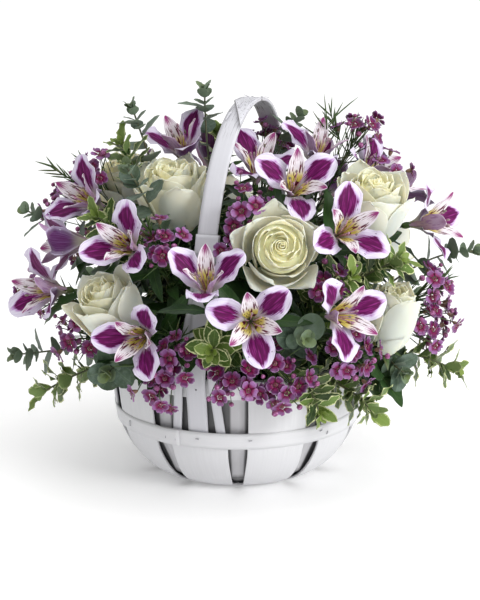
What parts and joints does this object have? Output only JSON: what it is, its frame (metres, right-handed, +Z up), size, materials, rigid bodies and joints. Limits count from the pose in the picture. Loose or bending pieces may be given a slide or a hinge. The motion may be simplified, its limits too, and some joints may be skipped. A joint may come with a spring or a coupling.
{
  "type": "flower basket arrangement",
  "caption": "Round white chip-wood basket with one tall flat handle, filled with roses, alstroemerias, waxflowers and leafy sprays standing in foam.",
  "frame": {"origin": "middle of the basket's round base, on the surface it stands on", "axes": "+Z up, -Y towards the front of the arrangement, +X to its right as seen from the front; the flowers reach furthest along X"},
  "size_m": [0.4408, 0.4023, 0.3647],
  "materials": {
    "painted_wood": "thin white matt paint over wood chip strips",
    "liner": "dull white film",
    "foam": "dark green wet foam, matt",
    "rose": "soft cream petals, green stems and leaves",
    "alstroemeria": "satin purple and white petals, green stems",
    "waxflower": "waxy pink petals, thin green stalks",
    "eucalyptus": "grey-green matt leaves with a powdery bloom",
    "pittosporum": "satin green leaves with cream edges"
  },
  "bodies": {
    "root": {"alstroemeria_crown": "alstroemeria", "alstroemeria_far_left": "alstroemeria", "alstroemeria_left": "alstroemeria", "alstroemeria_low_left": "alstroemeria", "alstroemeria_low_middle": "alstroemeria", "alstroemeria_low_right": "alstroemeria", "alstroemeria_middle": "alstroemeria", "alstroemeria_rear_left": "alstroemeria", "alstroemeria_rear_right": "alstroemeria", "alstroemeria_side_left": "alstroemeria", "alstroemeria_side_right": "alstroemeria", "alstroemeria_top_front": "alstroemeria", "alstroemeria_top_left": "alstroemeria", "alstroemeria_top_right": "alstroemeria", "alstroemeria_upper_right": "alstroemeria", "basket_board": "painted_wood", "basket_splints": "painted_wood", "eucalyptus_crest_left": "eucalyptus", "eucalyptus_crown": "eucalyptus", "eucalyptus_far_left": "eucalyptus", "eucalyptus_front": "eucalyptus", "eucalyptus_low_left": "eucalyptus", "eucalyptus_rear": "eucalyptus", "eucalyptus_right": "eucalyptus", "eucalyptus_top_left": "eucalyptus", "eucalyptus_upper_left": "eucalyptus", "foam": "foam", "front_braces": "painted_wood", "handle": "painted_wood", "liner": "liner", "mid_band": "painted_wood", "pittosporum_crest_left": "pittosporum", "pittosporum_low_left": "pittosporum", "pittosporum_low_middle": "pittosporum", "pittosporum_low_right": "pittosporum", "pittosporum_rear": "pittosporum", "pittosporum_right": "pittosporum", "pittosporum_rim_right": "pittosporum", "pittosporum_upper_left": "pittosporum", "rear_braces": "painted_wood", "rim_hoop": "painted_wood", "rose_back_left": "rose", "rose_front": "rose", "rose_left": "rose", "rose_low_right": "rose", "rose_rear_left": "rose", "rose_rear_middle": "rose", "rose_rear_right": "rose", "rose_right": "rose", "rose_upper_left": "rose", "waxflower_far_left": "waxflower", "waxflower_left": "waxflower", "waxflower_middle": "waxflower", "waxflower_rear": "waxflower", "waxflower_right": "waxflower", "waxflower_rim_left": "waxflower", "waxflower_rim_middle": "waxflower", "waxflower_rim_right": "waxflower", "waxflower_side_left": "waxflower", "waxflower_top_right": "waxflower"}
  },
  "joints": []
}
